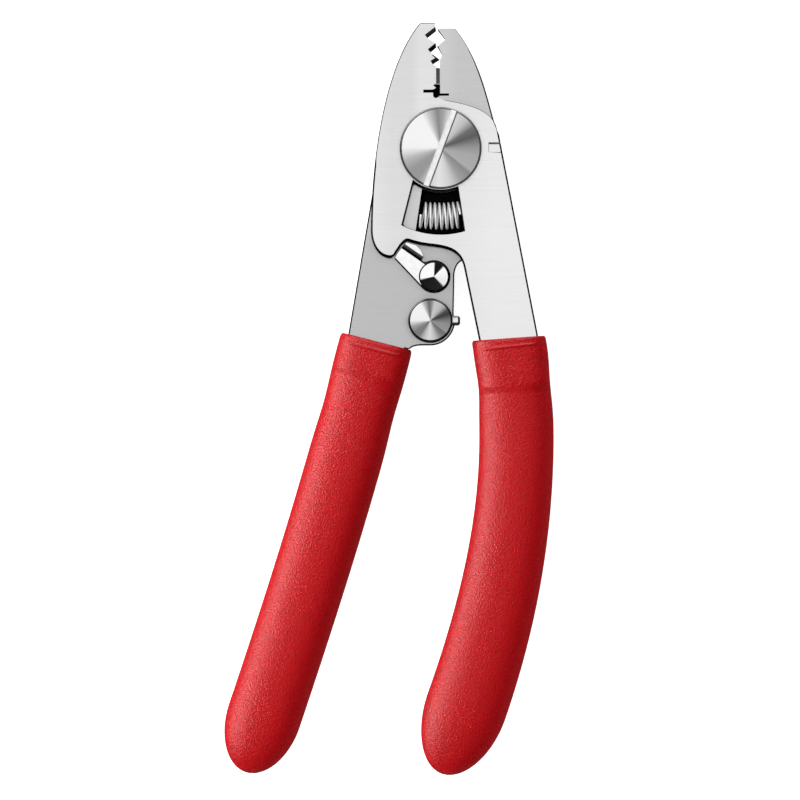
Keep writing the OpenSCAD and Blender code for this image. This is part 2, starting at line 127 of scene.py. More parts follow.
class Graph:
    """A thin helper that adds and joins nodes in one shader tree."""

    def __init__(self, tree: bpy.types.NodeTree) -> None:
        self.tree = tree
        tree.nodes.clear()

    def node(self, kind: str, **settings: object) -> bpy.types.Node:
        """Adds one node.

        Args:
            kind: Blender's type name of the node.
            **settings: attributes to set on it.

        Returns:
            The new node.
        """
        made = self.tree.nodes.new(kind)
        for key, value in settings.items():
            setattr(made, key, value)
        return made

    def put(self, socket: bpy.types.NodeSocket, value: object) -> None:
        """Joins a socket to value, or stores value in it when it is a plain number or colour."""
        if isinstance(value, bpy.types.NodeSocket):
            self.tree.links.new(value, socket)
        elif isinstance(value, tuple) and len(value) == 3 and socket.type == "RGBA":
            socket.default_value = (*value, 1.0)
        else:
            socket.default_value = value

    def calc(self, operation: str, *values: object, clamp: bool = False) -> bpy.types.NodeSocket:
        """Returns the result of one arithmetic step on numbers or sockets."""
        step = self.node("ShaderNodeMath", operation=operation, use_clamp=clamp)
        for socket, value in zip(step.inputs, values):
            self.put(socket, value)
        return step.outputs[0]

    def mix(self, factor: object, a: object, b: object, blend: str = "MIX") -> bpy.types.NodeSocket:
        """Returns the colour that mixes a and b by factor."""
        step = self.node("ShaderNodeMix", data_type="RGBA", blend_type=blend)
        for index, value in ((0, factor), (6, a), (7, b)):
            self.put(step.inputs[index], value)
        return step.outputs[2]

    def fit(self, value: object, low: float, high: float, to_low: float = 0.0,
            to_high: float = 1.0) -> bpy.types.NodeSocket:
        """Returns value mapped smoothly from low..high to to_low..to_high."""
        step = self.node("ShaderNodeMapRange", interpolation_type="SMOOTHSTEP")
        for socket, part in zip(step.inputs, (value, low, high, to_low, to_high)):
            self.put(socket, part)
        return step.outputs[0]

    def place(self, centre: Point = (0, 0, 0), pitch: Point = (1, 1, 1)) -> bpy.types.NodeSocket:
        """Returns object coordinates counted from centre and divided by pitch."""
        source = self.node("ShaderNodeTexCoord")
        move = self.node("ShaderNodeMapping", vector_type="POINT")
        self.put(move.inputs["Vector"], source.outputs["Object"])
        move.inputs["Location"].default_value = [-c / p for c, p in zip(centre, pitch)]
        move.inputs["Scale"].default_value = [1 / p for p in pitch]
        return move.outputs[0]

    def noise(self, where: bpy.types.NodeSocket, detail: float = 2.0,
              roughness: float = 0.5) -> bpy.types.NodeSocket:
        """Returns a noise value around 0.5 at the given coordinates."""
        made = self.node("ShaderNodeTexNoise")
        self.put(made.inputs["Vector"], where)
        made.inputs["Scale"].default_value = 1.0
        made.inputs["Detail"].default_value = detail
        made.inputs["Roughness"].default_value = roughness
        return made.outputs[0]

    def ramp(self, factor: object, stops: list[tuple[float, Colour]],
             interpolation: str = "LINEAR") -> bpy.types.NodeSocket:
        """Returns a colour read from given stops."""
        made = self.node("ShaderNodeValToRGB")
        self.put(made.inputs[0], factor)
        band = made.color_ramp
        band.interpolation = interpolation
        while len(band.elements) < len(stops):
            band.elements.new(1.0)
        for element, (place, _) in zip(band.elements, stops):
            element.position = place
        for element, (_, colour) in zip(band.elements, stops):
            element.color = (*colour, 1.0)
        return made.outputs[0]

    def bump(self, height: bpy.types.NodeSocket, distance: float,
             strength: float = 1.0) -> bpy.types.NodeSocket:
        """Returns a normal that is disturbed by height, distance metres deep."""
        made = self.node("ShaderNodeBump")
        self.put(made.inputs["Height"], height)
        made.inputs["Distance"].default_value = distance
        made.inputs["Strength"].default_value = strength
        return made.outputs[0]

    def surface(self, settings: dict[str, object]) -> None:
        """Adds the Principled shader with these inputs and joins it to the output."""
        shader = self.node("ShaderNodeBsdfPrincipled")
        for key, value in settings.items():
            self.put(shader.inputs[key], value)
        out = self.node("ShaderNodeOutputMaterial")
        self.put(out.inputs["Surface"], shader.outputs[0])


@dataclass(frozen=True)
class Finish:
    """A procedural material. Subclasses fill its node graph."""

    name: str

    def draw(self, graph: Graph) -> None:
        """Fills the node graph."""
        raise NotImplementedError

    def material(self) -> bpy.types.Material:
        """Returns the material, made on its first use."""
        found = bpy.data.materials.get(self.name)
        if found is None:
            found = bpy.data.materials.new(self.name)
            found.use_nodes = True
            self.draw(Graph(found.node_tree))
        return found


@dataclass(frozen=True)
class BrushedSteel(Finish):
    """Flat-ground steel with fine lines across the tool.

    Attributes:
        tones: places along the tool in millimetres from the pivot, with the display tone there.
        bands: the same across the tool, as shares of that tone.
        line_mm: length and pitch of the brush lines.
        strength: how far the lines change the tone.
        depth: how far the lines disturb the surface.
    """

    tones: tuple[tuple[float, float], ...]
    bands: tuple[tuple[float, float], ...] = ((-20, 1.0), (20, 1.0))
    line_mm: tuple[float, float] = (10.0, 0.28)
    strength: float = 0.05
    depth: float = 0.3
    roughness: float = 0.3

    def stops(self, graph: Graph, place: bpy.types.NodeSocket, span: tuple[float, float],
              tones: tuple[tuple[float, float], ...]) -> bpy.types.NodeSocket:
        """Returns the tone at a place, read from stops in millimetres within a span."""
        share = graph.calc("DIVIDE", graph.calc("SUBTRACT", place, span[0] * MM),
                           (span[1] - span[0]) * MM)
        return graph.ramp(share, [((at - span[0]) / (span[1] - span[0]), grey(tone))
                                  for at, tone in tones])

    def draw(self, graph: Graph) -> None:
        length, pitch = (v * MM for v in self.line_mm)
        lines = graph.noise(graph.place(pitch=(length, pitch, 0.004)), 3.0, 0.6)
        split = graph.node("ShaderNodeSeparateXYZ")
        graph.put(split.inputs[0], graph.place())
        base = graph.mix(1.0, self.stops(graph, split.outputs[1], (-50, 30), self.tones),
                         self.stops(graph, split.outputs[0], (-25, 25), self.bands), "MULTIPLY")
        shade = graph.fit(lines, 0.3, 0.7, 1 - self.strength, 1 + self.strength)
        graph.surface({
            "Base Color": graph.mix(1.0, base, shade, "MULTIPLY"),
            "Metallic": 1.0,
            "Roughness": graph.fit(lines, 0.25, 0.75, self.roughness - 0.05, self.roughness + 0.08),
            "Normal": graph.bump(lines, 0.00001, self.depth),
        })


@dataclass(frozen=True)
class TurnedSteelPaintedFan(Finish):
    """Lathe-turned steel: fine rings, and a painted reflection: a fan of light and dark sectors about
    its own centre.

    Attributes:
        centre: a point on the piece's axis.
        contrast: power that the fan's tones are raised to.
    """

    centre: Point
    contrast: float = 1.0

    def draw(self, graph: Graph) -> None:
        # The fan is a painted reflection: base colour made lighter and darker by angle round the
        # axis, fixed to the piece.
        fan = graph.node("ShaderNodeTexGradient", gradient_type="RADIAL")
        graph.put(fan.inputs[0], graph.place(self.centre))
        rings = graph.node("ShaderNodeTexWave", wave_type="RINGS", rings_direction="Z")
        graph.put(rings.inputs["Vector"], graph.place(self.centre, (0.0011,) * 3))
        rings.inputs["Scale"].default_value = 1.0
        rings.inputs["Distortion"].default_value = 0.6
        fine = graph.fit(rings.outputs[1], 0.0, 1.0, -0.02, 0.02)
        stops = [(0.0, 0.95), (0.05, 0.72), (0.1, 0.6), (0.15, 0.6), (0.19, 0.8), (0.24, 0.9),
                 (0.29, 0.82), (0.34, 0.62), (0.385, 0.54), (0.4, 0.68), (0.465, 0.66),
                 (0.505, 0.58), (0.555, 0.37), (0.59, 0.44), (0.63, 0.75), (0.665, 0.82),
                 (0.71, 0.84), (0.735, 0.66), (0.765, 0.54), (0.8, 0.76), (0.835, 0.97),
                 (0.95, 0.97), (1.0, 0.96)]
        tone = graph.ramp(fan.outputs[1],
                          [(place, grey(tone**self.contrast)) for place, tone in stops])
        graph.surface({
            "Base Color": graph.mix(1.0, tone, graph.calc("ADD", fine, 1.0), "MULTIPLY"),
            "Metallic": 1.0,
            "Roughness": 0.28,
            "Normal": graph.bump(rings.outputs[1], 0.000004, 0.3),
        })


@dataclass(frozen=True)
class PolishPaintedSectors(Finish):
    """A polished shallow cone with painted reflections: hard-edged light and dark sectors about its
    own centre.
    """

    centre: Point

    def draw(self, graph: Graph) -> None:
        # Painted reflections: light and dark wedges of base colour by angle round the axis.
        fan = graph.node("ShaderNodeTexGradient", gradient_type="RADIAL")
        graph.put(fan.inputs[0], graph.place(self.centre))
        dark, light = grey(0.12), grey(0.99)
        mottle = graph.noise(graph.place(pitch=(0.002,) * 3))
        stops = [(0.0, light), (0.02, light), (0.045, dark), (0.36, grey(0.16)), (0.39, grey(0.9)),
                 (0.5, grey(0.95)), (0.615, light), (0.64, dark), (0.735, dark), (0.755, light),
                 (1.0, light)]
        graph.surface({
            "Base Color": graph.ramp(fan.outputs[1], stops),
            "Metallic": 1.0,
            "Roughness": graph.fit(mottle, 0.3, 0.7, 0.1, 0.16),
        })


@dataclass(frozen=True)
class PlainSteel(Finish):
    """Even steel with a faint mottle.

    Attributes:
        tone: display tone.
        roughness: mean roughness.
        metal: how metallic it looks; a dull skin lowers it.
    """

    tone: float
    roughness: float = 0.15
    metal: float = 1.0

    def draw(self, graph: Graph) -> None:
        mottle = graph.noise(graph.place(pitch=(0.0012,) * 3), 3.0)
        graph.surface({
            "Base Color": graph.mix(graph.fit(mottle, 0.3, 0.7), grey(self.tone),
                                    grey(self.tone * 0.96)),
            "Metallic": self.metal,
            "Roughness": graph.fit(mottle, 0.3, 0.7, self.roughness, self.roughness + 0.06),
        })


@dataclass(frozen=True)
class GripPlastic(Finish):
    """Dipped plastic: a soft shine over a fine leather grain."""

    colour: Colour = (0.5, 0.003, 0.006)
    grain_mm: float = 0.36

    def draw(self, graph: Graph) -> None:
        cells = graph.node("ShaderNodeTexVoronoi", feature="SMOOTH_F1")
        warp = graph.noise(graph.place(pitch=(0.0009,) * 3), 2.0)
        where = graph.node("ShaderNodeVectorMath", operation="ADD")
        graph.put(where.inputs[0], graph.place(pitch=(self.grain_mm * MM,) * 3))
        graph.put(where.inputs[1], graph.calc("MULTIPLY", warp, 1.2))
        graph.put(cells.inputs["Vector"], where.outputs[0])
        cells.inputs["Scale"].default_value = 1.0
        cells.inputs["Smoothness"].default_value = 0.6
        pores = graph.noise(graph.place(pitch=(0.00028,) * 3), 2.0, 0.6)
        height = graph.calc("ADD", graph.calc("MULTIPLY", cells.outputs[0], -0.7),
                            graph.calc("MULTIPLY", pores, 0.6))
        fleck = graph.fit(height, -0.35, 0.2)
        darker = tuple(c * 0.78 for c in self.colour)
        graph.surface({
            "Base Color": graph.mix(fleck, darker, self.colour),
            "Roughness": graph.fit(pores, 0.3, 0.7, 0.36, 0.44),
            "Specular IOR Level": 0.04,
            "Normal": graph.bump(height, 0.00018, 0.85),
        })


class Finishes:
    """The finishes of the tool, one for each kind of surface."""

    def __init__(self) -> None:
        low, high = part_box("stop_barrel")
        barrel = tuple((low + high) / 2)
        low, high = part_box("lock_rivet")
        rivet = tuple((low + high) / 2)
        self.front = BrushedSteel(
            "ground_steel", ((-45, 0.91), (-20, 0.92), (12, 0.905), (28, 0.9)),
            ((-16, 1.0), (-11, 0.965), (-6.5, 0.96), (-4.5, 1.0), (2, 0.99), (12, 1.02)),
            (14.0, 0.3), 0.012, 0.15)
        # The back half is darker towards its grip. Its lighter tone from 18 mm below the pivot upward
        # is partly painted light, which lifts the panel seen through the front window against that
        # window's shade.
        self.back = BrushedSteel(
            "brushed_steel", ((-22, 0.735), (-18, 0.79), (-8, 0.8), (4, 0.82)),
            ((-16, 1.03), (-1, 1.02), (4, 0.96), (12, 0.96)))
        # Near-black steel for the deep faces of the back half's pockets: painted shade.
        self.pocket_shade = PlainSteel("pocket_painted_shade", 0.08, 0.5)
        self.head = TurnedSteelPaintedFan("turned_head_painted_fan", (0.0, 0.0, 0.0))
        self.slot = PlainSteel("slot_steel", 0.99, 0.3)
        self.barrel = TurnedSteelPaintedFan("turned_barrel_painted_fan", barrel, 1.4)
        self.rivet = PolishPaintedSectors("polished_rivet_painted_sectors", rivet)
        self.lever = PlainSteel("polished_lever", 0.99, 0.14)
        self.wire = PlainSteel("spring_wire_steel", 1.0, 0.18, 0.35)
        self.dull = PlainSteel("dull_steel", 0.95, 0.3)
        # Dark chamfers: painted shade along the edges, the same on every side.
        self.edge = PlainSteel("edge_painted_shade", 0.22, 0.3)
        # Near-black steel for the ground slopes of the front notches: painted shade.
        self.ground = PlainSteel("notch_slope_painted_shade", 0.2, 0.35)
        self.shaded = PlainSteel("shaded_steel", 0.5, 0.5, 0.2)
        # Darker steel for the pivot head's slot wall and rim chamfer: painted shade.
        self.slot_wall_shade = PlainSteel("slot_wall_shade", 0.5, 0.4)
        self.hidden = PlainSteel("nut_steel", 0.75, 0.25)
        self.grip = GripPlastic("grip_plastic")


def mesh_object(name: str, mesh: bpy.types.Mesh) -> bpy.types.Object:
    """Returns a new object in the scene that shows mesh."""
    made = bpy.data.objects.new(name, mesh)
    bpy.context.scene.collection.objects.link(made)
    return made


def grid_object(name: str, rings: np.ndarray, closed_ends: bool = False) -> bpy.types.Object:
    """Makes a smooth tube from rings of points.

    Args:
        name: the object's name.
        rings: an array of shape (rings, sides, 3).
        closed_ends: whether each end ring gets a flat face.

    Returns:
        The object, with outward normals.
    """
    count, sides = rings.shape[:2]
    index = np.arange(count * sides).reshape(count, sides)
    turned = np.roll(index, -1, axis=1)
    quads = np.stack([index[:-1], turned[:-1], turned[1:], index[1:]], axis=-1).reshape(-1, 4)
    faces = quads.tolist()
    if closed_ends:
        faces += [index[0][::-1].tolist(), index[-1].tolist()]
    mesh = bpy.data.meshes.new(name)
    mesh.from_pydata(rings.reshape(-1, 3).tolist(), [], faces)
    work = bmesh.new()
    work.from_mesh(mesh)
    bmesh.ops.recalc_face_normals(work, faces=work.faces)
    work.to_mesh(mesh)
    work.free()
    mesh.shade_smooth()
    return mesh_object(name, mesh)


@dataclass(frozen=True)
class Piece:
    """What every dressed piece says about itself.

    Attributes:
        name: the object's name.
        node: the CAD node that it stands for.
        body: the body that it rides on.
        slot: the record's material slot; not used.
    """

    name: str
    node: str
    body: Body
    slot: Slot

    def adopt(self, obj: bpy.types.Object, *materials: bpy.types.Material) -> bpy.types.Object:
        """Gives obj its materials and puts it in the CAD node's place."""
        for material in materials:
            obj.data.materials.append(material)
        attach(obj, self.body.value)
        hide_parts(self.node)
        return obj


# Says how wide a chamfer is in millimetres, from an edge's middle and its outward direction.
EdgeRule = Callable[[Vector, Vector], float]


def even(width_mm: float, low_mm: float = 0.0) -> EdgeRule:
    """Returns a rule: one width all round, and low_mm where the edge faces down the tool, so that its
    dark finish is wider there as a painted shadow.
    """
    def width(_: Vector, out: Vector) -> float:
        return width_mm + max(0.0, low_mm - width_mm) * max(0.0, -out.y) ** 2
    return width


def rim(width_mm: float, reach_mm: float, centre: Vector) -> EdgeRule:
    """Returns a rule that gives width_mm to the edges further than reach_mm from an axis."""
    def width(at: Vector, _: Vector) -> float:
        return width_mm if (at - centre).xy.length > reach_mm else 0.0
    return width


def front_edges(at: Vector, out: Vector) -> float:
    """Chamfers of the front half: none in the cutting edges, wide where they face down, where their
    dark finish is a painted shadow.
    """
    if abs(at.x + 1) < 3.2 and 11 < at.y < 27.9:
        return 0.0
    if 9 < at.x < 12.6 and abs(at.y) < 1.8:
        return 0.08 if at.y < 0 else 0.0
    if at.y > -4 and at.x < -2:
        return 0.2
    if out.y > 0.3:
        return 0.1
    if at.x > 3.5 and out.x < -0.9 and at.y > -20:
        return 0.2
    return 0.38 + 0.34 * max(0.0, -out.y) ** 2


def back_edges(at: Vector, out: Vector) -> float:
    """Chamfers of the back half: fine on the cutting edges that face down, none on the others."""
    if abs(at.x + 1) < 3.4 and 11 < at.y < 27.9:
        return 0.22 if out.y < -0.3 and at.y > 18 else 0.0
    if out.y > 0.3:
        return 0.1 + 0.22 * min(1.0, max(0.0, (24 - at.y) / 8))
    return 0.32


def lever_edges(at: Vector, out: Vector) -> float:
    """Chamfers of the lock lever: wide round its boss and on its lower edge, fine on its flange; the
    wide dark ones are painted shade round the rivet and below the lever.
    """
    low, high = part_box("lock_rivet")
    if ((low + high) / 2 / MM - at).xy.length < 4.2:
        return 0.36
    flange = at.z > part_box("lock_lever")[1].z / MM - 2.0
    return 0.05 if flange else 0.1 if out.y > -0.1 else 0.32


@dataclass(frozen=True)
class EdgedPart(Piece):
    """A copy of a CAD node whose sharp edges are broken with a small chamfer.

    Attributes:
        rule: how wide each chamfer is.
        widest_mm: the widest chamfer that the rule gives.
    """

    rule: EdgeRule = even(0.25)
    widest_mm: float = 0.75

    def weigh(self, work: bmesh.types.BMesh) -> None:
        """Stores each sharp edge's share of the widest chamfer as its bevel weight."""
        weights = work.edges.layers.float.new("bevel_weight_edge")
        for edge in work.edges:
            if len(edge.link_faces) == 2 and edge.calc_face_angle() > math.radians(SHARP_DEG):
                middle = (edge.verts[0].co + edge.verts[1].co) / 2 / MM
                side = min(edge.link_faces, key=lambda face: abs(face.normal.z))
                edge[weights] = min(1.0, self.rule(middle, side.normal) / self.widest_mm)

    def build(self, nodes: dict[str, bpy.types.Object], material: bpy.types.Material,
              edge: bpy.types.Material) -> bpy.types.Object:
        """Makes the piece.

        Args:
            nodes: the frame's CAD objects by name.
            material: its main finish.
            edge: the finish of its chamfers, painted dark as shade.

        Returns:
            The dressed object.
        """
        mesh = nodes[self.node].data.copy()
        mesh.name = self.name
        mesh.materials.clear()
        work = bmesh.new()
        work.from_mesh(mesh)
        bmesh.ops.remove_doubles(work, verts=work.verts, dist=0.002 * MM)
        bmesh.ops.dissolve_degenerate(work, edges=work.edges, dist=0.07 * MM)
        bmesh.ops.dissolve_limit(work, angle_limit=math.radians(0.5), verts=work.verts,
                                 edges=work.edges)
        bmesh.ops.recalc_face_normals(work, faces=work.faces)
        self.weigh(work)
        work.to_mesh(mesh)
        work.free()
        mesh.materials.append(material)
        mesh.materials.append(edge)
        obj = mesh_object(self.name, mesh)
        bevel = obj.modifiers.new("edges", "BEVEL")
        bevel.width = self.widest_mm * MM
        bevel.segments = 1
        bevel.limit_method = "WEIGHT"
        bevel.material = 1
        bevel.use_clamp_overlap = False
        bevel.miter_outer = "MITER_SHARP"
        bpy.context.view_layer.update()
        final = bpy.data.meshes.new_from_object(
            obj.evaluated_get(bpy.context.evaluated_depsgraph_get()))
        obj.modifiers.clear()
        obj.data = final
        final.shade_flat()
        return self.adopt(obj)


def slopes(normals: np.ndarray, low: float, high: float) -> np.ndarray:
    """Says which normals point up by more than low and less than high, as shares of one."""
    return (normals[:, 2] > low) & (normals[:, 2] < high)


def paint(obj: bpy.types.Object, material: bpy.types.Material,
          choose: Callable[[np.ndarray, np.ndarray], np.ndarray]) -> None:
    """Gives some faces of obj another finish.

    Args:
        obj: the object.
        material: the finish to add.
        choose: takes the faces' centres and normals, and says which faces get it.
    """
    faces = obj.data.polygons
    centres, normals = np.zeros(len(faces) * 3), np.zeros(len(faces) * 3)
    index = np.zeros(len(faces), np.int32)
    faces.foreach_get("center", centres)
    faces.foreach_get("normal", normals)
    faces.foreach_get("material_index", index)
    index[choose(centres.reshape(-1, 3) / MM, normals.reshape(-1, 3))] = len(obj.data.materials)
    obj.data.materials.append(material)
    faces.foreach_set("material_index", index)


@dataclass(frozen=True)
class Spring(Piece):
    """The return spring as a fine round wire on a helix whose axis is a shallow arc.

    Attributes:
        turns: number of turns.
        coil_mm: radius of the wire's centre line.
        wire_mm: radius of the wire.
        lean: the arc's half angle in degrees.
        arc_mm: the arc's radius.
        centre_mm: the middle of the arc.
    """

    turns: float = 8.0
    coil_mm: float = 2.85
    wire_mm: float = 0.25
    lean: float = 8.0
    arc_mm: float = 31.85
    centre_mm: Point = (0.0, -15.2, 6.3)

    def build(self, material: bpy.types.Material) -> bpy.types.Object:
        """Makes the spring and hides its CAD node."""
        steps, sides = 72, 20
        count = int(self.turns * steps) + 1
        share = np.linspace(0.0, 1.0, count)
        lean = np.radians(self.lean) * (2 * share - 1)
        turn = 2 * np.pi * self.turns * share + np.pi / 2
        flat = np.zeros(count)
        axis = np.stack([self.arc_mm * np.sin(lean), self.arc_mm * (1 - np.cos(lean)), flat], 1)
        axis += np.array(self.centre_mm)
        outward = np.stack([-np.sin(lean), np.cos(lean), flat], 1) * np.cos(turn)[:, None]
        outward[:, 2] = np.sin(turn)
        along = np.stack([np.cos(lean), np.sin(lean), flat], 1)
        round_ = np.linspace(0, 2 * np.pi, sides, endpoint=False)[None, :, None]
        rings = (axis[:, None] + (self.coil_mm + self.wire_mm * np.cos(round_)) * outward[:, None]
                 + self.wire_mm * np.sin(round_) * along[:, None])
        obj = grid_object(self.name, rings * MM, closed_ends=True)
        obj.data.materials.append(material)
        low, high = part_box(self.node)
        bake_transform(obj)
        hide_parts(self.node)
        return obj


@dataclass(frozen=True)
class Grip(Piece):
    """A dipped sleeve: collar, ridge below its rim, waist, and a rounded end.

    Attributes:
        mouth_mm: where the grip's middle line starts.
        bends: the other control points of that line, in grip lengths from the mouth.
        flare_mm: how much wider the grip grows towards its end.
        skew: how much lower the outer side of the mouth is.
        steel_mm: height of the middle of the steel that goes in.
        collar_mm: length of the collar along the middle line.
        ridge_mm: height of the ridge below the rim.
    """

    mouth_mm: tuple[float, float]
    bends: tuple[tuple[float, float], ...]
    flare_mm: float
    skew: float
    steel_mm: float
    collar_mm: float
    ridge_mm: float
    length_mm: float = 97.6
    width_mm: float = 16.8
    thick_mm: float = 12.0
    cap_mm: float = 12.0
    waist_mm: float = 14.0
    tang_mm: float = 13.2
    plate_mm: float = 3.5

    def frame(self, t: np.ndarray) -> tuple[np.ndarray, np.ndarray]:
        """Returns the middle line's points and the directions across it, at shares t."""
        p = np.array(((0.0, 0.0), *self.bends)) * self.length_mm + np.array(self.mouth_mm)
        t = t[:, None]
        at = ((1 - t) ** 3 * p[0] + 3 * (1 - t) ** 2 * t * p[1] + 3 * (1 - t) * t**2 * p[2]
              + t**3 * p[3])
        slope = ((1 - t) ** 2 * (p[1] - p[0]) + 2 * (1 - t) * t * (p[2] - p[1])
                 + t**2 * (p[3] - p[2]))
        slope /= np.linalg.norm(slope, axis=1)[:, None]
        lean = self.skew * np.exp(-t * self.length_mm / 3)
        return at, np.stack([-slope[:, 1], slope[:, 0]], 1) + lean * slope

    def section(self, s: np.ndarray, walk: np.ndarray,
                angle: np.ndarray) -> tuple[np.ndarray, np.ndarray]:
        """Returns each section's offsets across and up.

        Args:
            s: shares of the middle line, times its length.
            walk: true distances from the mouth along that line.
            angle: directions round the section.

        Returns:
            The offsets across the grip and up, each of shape (sections, directions).
        """
        t = s / self.length_mm
        cap = np.maximum(0.0, (s - self.length_mm + self.cap_mm) / self.cap_mm)
        end = np.sqrt(np.maximum(0.0004, 1 - cap**2))
        flare = smooth(t, 0.3125, 0.9375) * self.flare_mm / 2
        waist = 0.3 * np.exp(-(((s - self.waist_mm) / 6) ** 2)) + 0.15 * np.exp(-s / 3)
        rim = 1 - 0.055 * (1 - np.sqrt(1 - np.clip(1 - s / 0.9, 0, 1) ** 2))
        half = (self.width_mm / 2 + flare - waist) * end * rim
        step = smooth(walk, self.collar_mm - 1.2, self.collar_mm + 1.0)
        dip = 0.28 * step * (1 - smooth(walk, self.collar_mm + 3, self.collar_mm + 22))
        low = 0.08 + dip + self.ridge_mm * (1 - smooth(walk, self.collar_mm, self.collar_mm + 30))
        rise = (self.thick_mm / 2 - low) * end * (1 - 1.6 * (1 - rim))
        power = (0.66 + 0.2 * step)[:, None]
        across = np.sign(np.cos(angle)) * np.abs(np.cos(angle)) ** power * half[:, None]
        up = np.sign(np.sin(angle)) * np.abs(np.sin(angle)) ** power * rise[:, None]
        ridge = self.ridge_mm * np.exp(-(((walk - 1.9) / 0.28) ** 2))[:, None]
        inner = 1 - smooth(np.abs(across) / half[:, None], 0.66, 0.76)
        return across, up + np.sign(up) * ridge * inner

    def build(self, material: bpy.types.Material) -> bpy.types.Object:
        """Makes the sleeve, with its mouth turned in around the steel."""
        sides = 160
        angle = np.linspace(0, 2 * np.pi, sides, endpoint=False)[None]
        near = np.concatenate([0.9 * (1 - np.cos(np.linspace(0, np.pi / 2, 8))),
                               np.arange(1.0, 13.0, 0.11)])
        body = np.linspace(13.0, self.length_mm - self.cap_mm, 130)
        tip = self.length_mm - self.cap_mm * (1 - np.sin(np.linspace(0, np.pi / 2, 26)[1:]))
        s = np.concatenate([near, body, tip])
        at, side = self.frame(s / self.length_mm)
        walk = np.append(0.0, np.cumsum(np.linalg.norm(np.diff(at, axis=0), axis=1)))
        across, up = self.section(s, walk, angle)
        rings = self.place(at, side, across, up)
        mouth, mouth_side = self.frame(np.zeros(1))
        back = np.array([mouth_side[0][1], -mouth_side[0][0]])
        slot_half = np.array([self.tang_mm / 2 + 0.12, self.plate_mm / 2 + 0.12])
        rim = np.stack([across[0], up[0]], 1)
        corner = np.stack([np.cos(angle[0]), np.sin(angle[0])], 1)
        corner = np.sign(corner) * np.abs(corner) ** 0.25 * slot_half
        corner[:, 1] += self.steel_mm - self.thick_mm / 2
        inside = []
        for share, depth in ((1.0, 2.5), (1.0, 0.35), (0.97, 0.08), (0.6, 0.0), (0.25, 0.0)):
            flat = rim * (1 - share) + corner * share
            centre = mouth + back * depth
            inside.append(self.place(centre, mouth_side, flat[None, :, 0], flat[None, :, 1])[0])
        obj = grid_object(self.name, np.concatenate([np.array(inside), rings]) * MM)
        work = bmesh.new()
        work.from_mesh(obj.data)
        work.verts.ensure_lookup_table()
        last = len(work.verts) - sides
        work.faces.new([work.verts[i] for i in range(last, last + sides)])
        bmesh.ops.recalc_face_normals(work, faces=work.faces)
        work.to_mesh(obj.data)
        work.free()
        obj.data.shade_smooth()
        obj.data.set_sharp_from_angle(angle=math.radians(50))
        obj.visible_glossy = False
        obj.visible_diffuse = False
        return self.adopt(obj, material)

    def place(self, at: np.ndarray, side: np.ndarray, across: np.ndarray,
              up: np.ndarray) -> np.ndarray:
        """Returns the sections' points in the frame, in millimetres."""
        flat = at[:, None] + across[..., None] * side[:, None]
        return np.concatenate([flat, (self.thick_mm / 2 + up)[..., None]], axis=-1)


